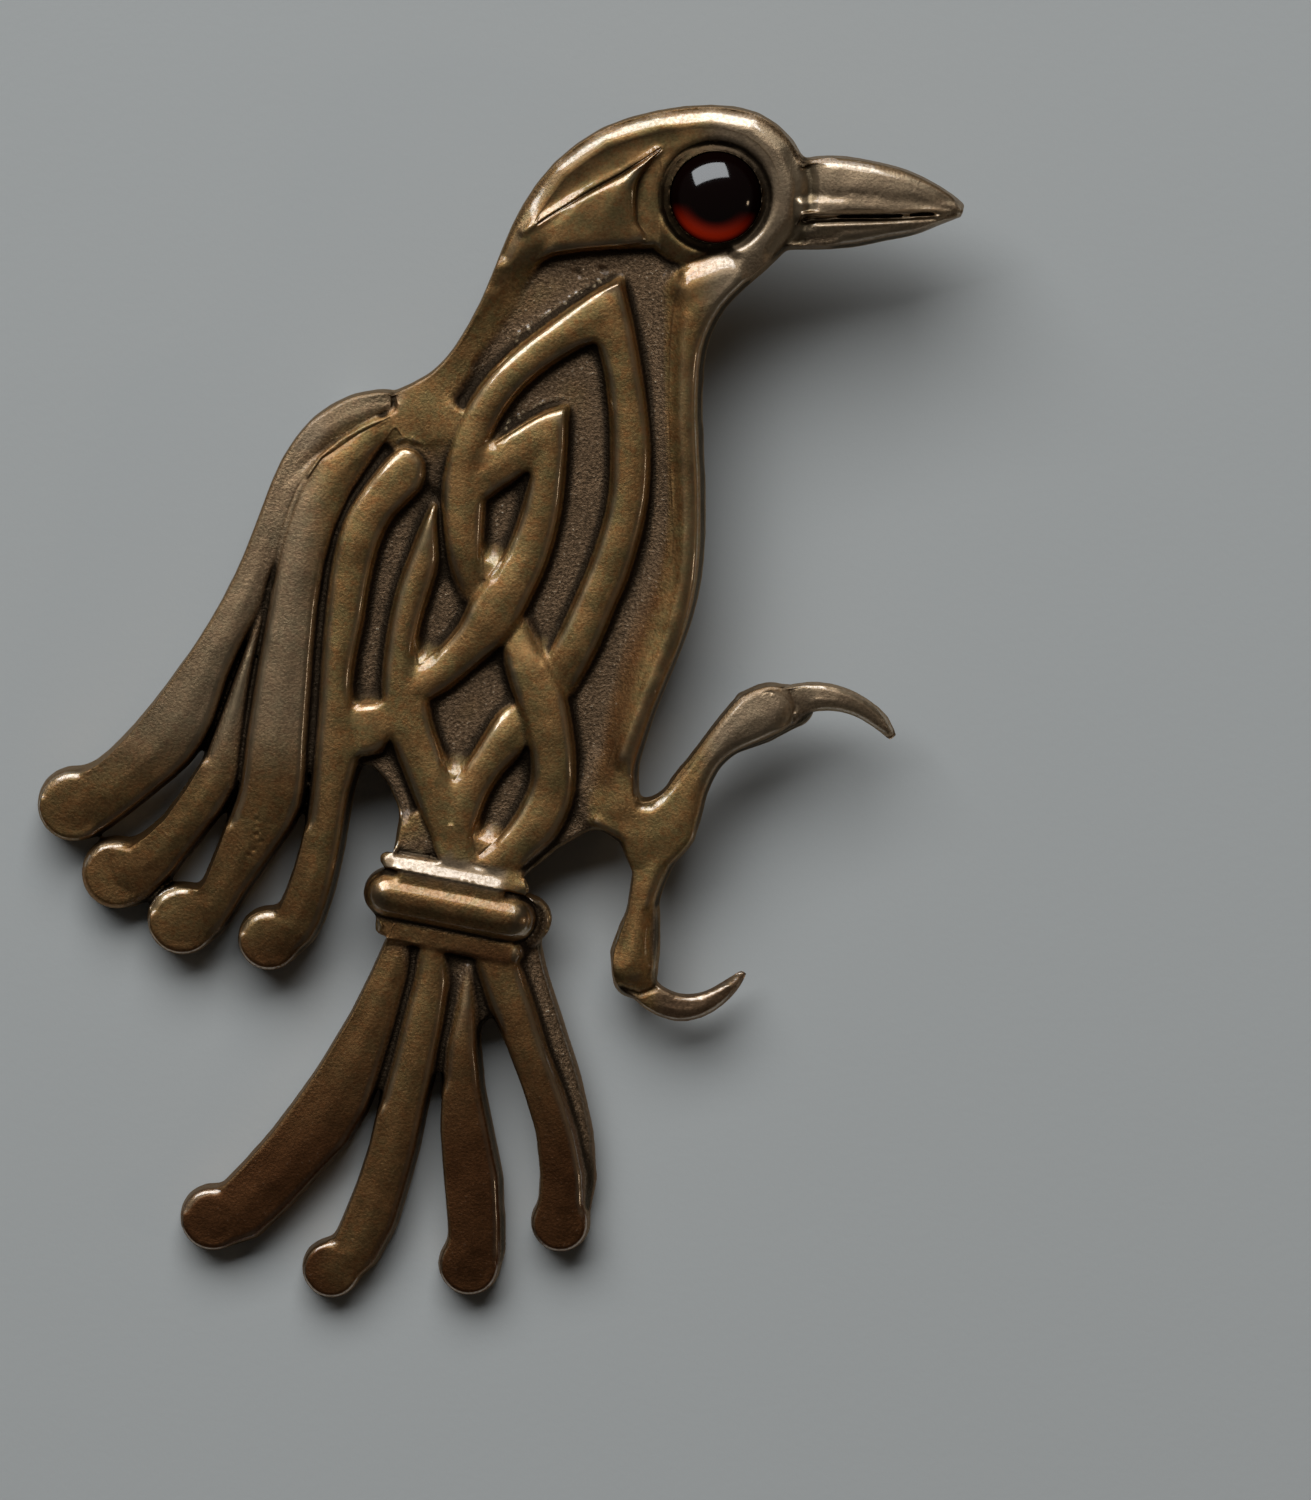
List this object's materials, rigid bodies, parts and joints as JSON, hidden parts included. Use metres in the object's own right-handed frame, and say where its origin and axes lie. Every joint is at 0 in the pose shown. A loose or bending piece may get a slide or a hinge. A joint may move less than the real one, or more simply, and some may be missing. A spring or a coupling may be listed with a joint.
{
  "type": "raven brooch",
  "caption": "Cast bronze brooch of a standing raven in profile, with raised knotwork on its shoulder, a red cabochon eye, a wing and tail of curled feathers, and a straight pin behind.",
  "frame": {"origin": "centre of the footprint of the bounding box, on the plane that the brooch lies on", "axes": "seen from the front: +X towards the beak's side, +Y towards the crown, +Z out of the bird's face, away from what it lies on"},
  "size_m": [0.0436, 0.056, 0.0079],
  "materials": {
    "bronze": "aged bronze: satin on the raised work, dark grainy patina in the recesses",
    "garnet": "polished dark red cabochon, nearly opaque",
    "pin_steel": "plain drawn wire and sheet, slightly dulled"
  },
  "bodies": {
    "root": {"raven_casting": "bronze", "eye_cabochon": "garnet", "pin_back": "pin_steel"}
  },
  "joints": []
}
